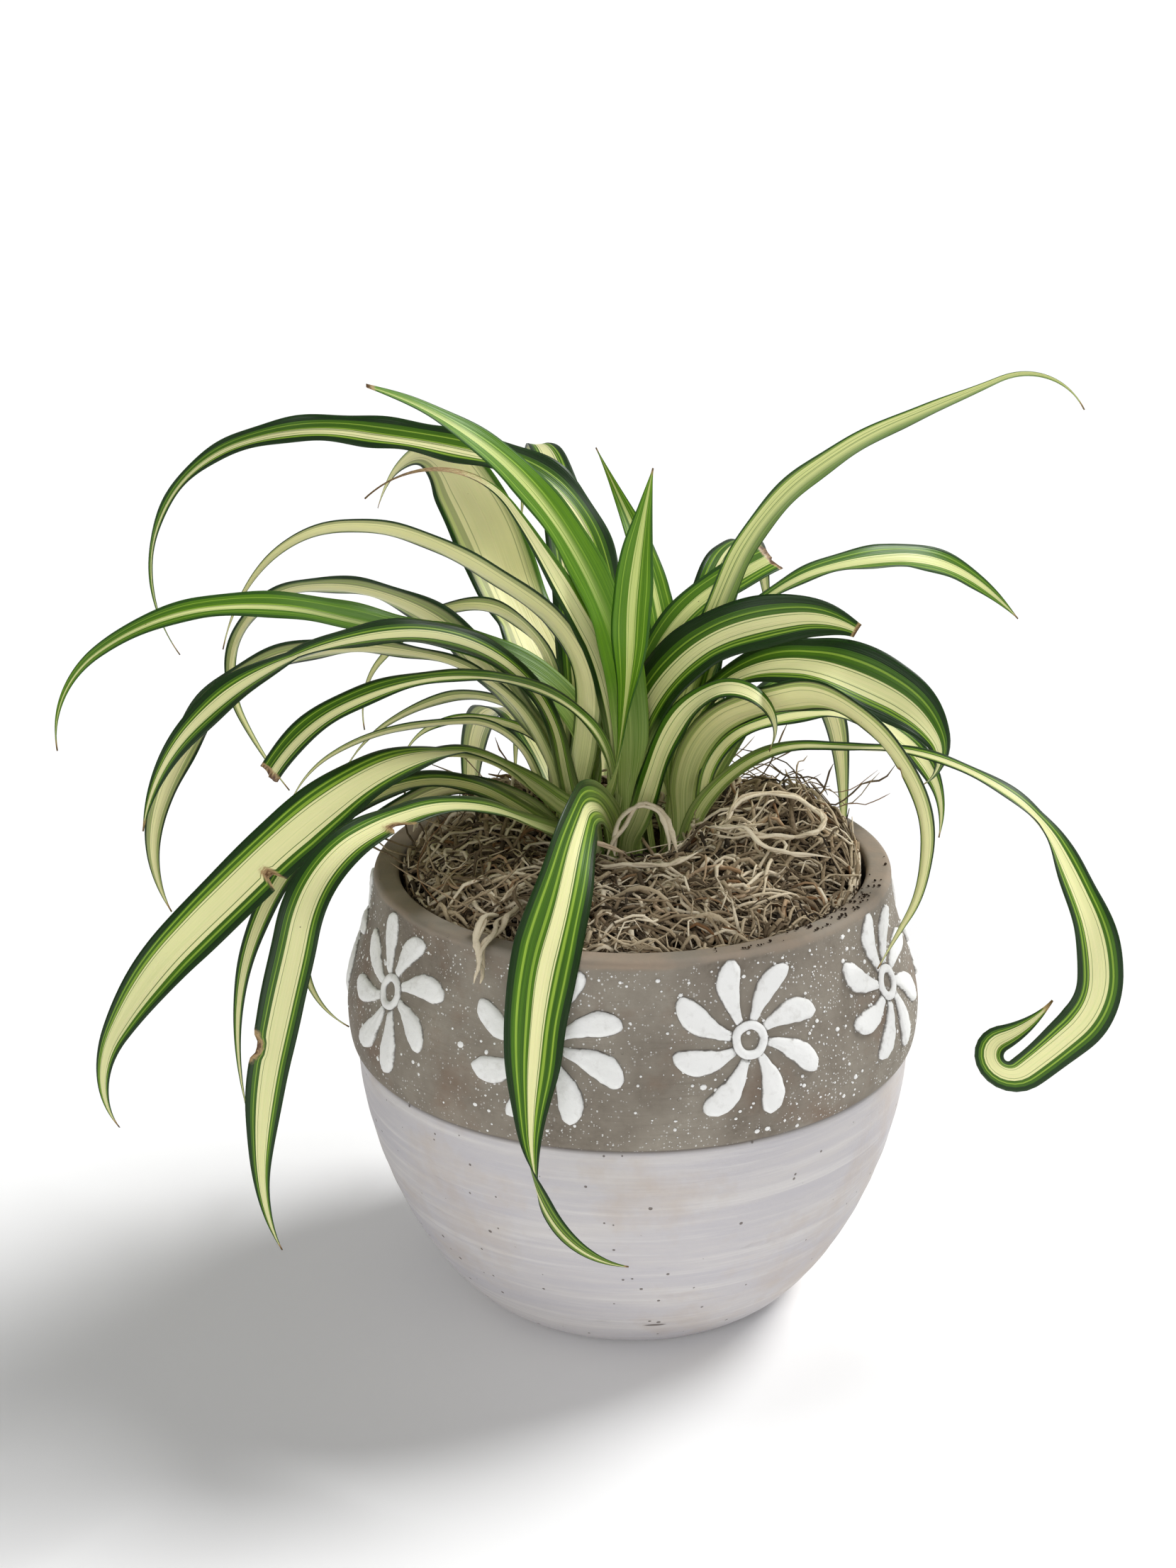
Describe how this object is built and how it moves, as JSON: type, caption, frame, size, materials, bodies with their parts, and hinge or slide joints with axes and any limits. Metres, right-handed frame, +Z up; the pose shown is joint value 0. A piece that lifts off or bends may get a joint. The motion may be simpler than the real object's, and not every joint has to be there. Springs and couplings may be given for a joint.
{
  "type": "potted spider plant",
  "caption": "Variegated spider plant with arching striped leaves, growing through a mat of dry moss in a round grey and white ceramic pot with raised daisies on its collar.",
  "frame": {"origin": "centre of the pot's flat foot, on the surface that the pot stands on", "axes": "+X towards the plant's right as seen from the front, +Y towards the back, +Z up along the pot's axis"},
  "size_m": [0.2845, 0.2391, 0.2566],
  "materials": {
    "pot_ceramic": "matte taupe-grey collar splattered white, with raised white daisies; whitewashed lavender-white body below",
    "soil": "dark crumbly potting soil",
    "dry_moss": "dry curly strands, beige to grey-brown",
    "shoot_tissue": "pale greenish-white, smooth",
    "striped_leaf": "satin leaf, cream centre with green lines and dark green margins, paler below",
    "young_leaf": "satin leaf, bright green with thin cream stripes"
  },
  "bodies": {
    "root": {"pot": "pot_ceramic", "soil": "soil", "moss": "dry_moss", "shoot_front": "shoot_tissue", "shoot_left": "shoot_tissue", "shoot_middle": "shoot_tissue", "shoot_right": "shoot_tissue", "leaf_back_01": "striped_leaf", "leaf_back_02": "striped_leaf", "leaf_back_03": "striped_leaf", "leaf_back_04": "striped_leaf", "leaf_back_05": "striped_leaf", "leaf_back_06": "striped_leaf", "leaf_back_07": "striped_leaf", "leaf_centre_01": "young_leaf", "leaf_centre_02": "young_leaf", "leaf_front_01": "striped_leaf", "leaf_left_01": "striped_leaf", "leaf_left_02": "young_leaf", "leaf_left_03": "young_leaf", "leaf_left_04": "striped_leaf", "leaf_left_05": "striped_leaf", "leaf_left_06": "striped_leaf", "leaf_left_07": "striped_leaf", "leaf_left_08": "striped_leaf", "leaf_left_09": "striped_leaf", "leaf_left_10": "striped_leaf", "leaf_left_11": "striped_leaf", "leaf_left_12": "striped_leaf", "leaf_left_13": "striped_leaf", "leaf_left_14": "striped_leaf", "leaf_left_15": "striped_leaf", "leaf_left_16": "striped_leaf", "leaf_left_17": "striped_leaf", "leaf_left_18": "striped_leaf", "leaf_right_01": "striped_leaf", "leaf_right_02": "striped_leaf", "leaf_right_03": "striped_leaf", "leaf_right_04": "striped_leaf", "leaf_right_05": "striped_leaf", "leaf_right_06": "striped_leaf", "leaf_right_07": "striped_leaf", "leaf_right_08": "striped_leaf", "leaf_right_09": "striped_leaf"}
  },
  "joints": []
}
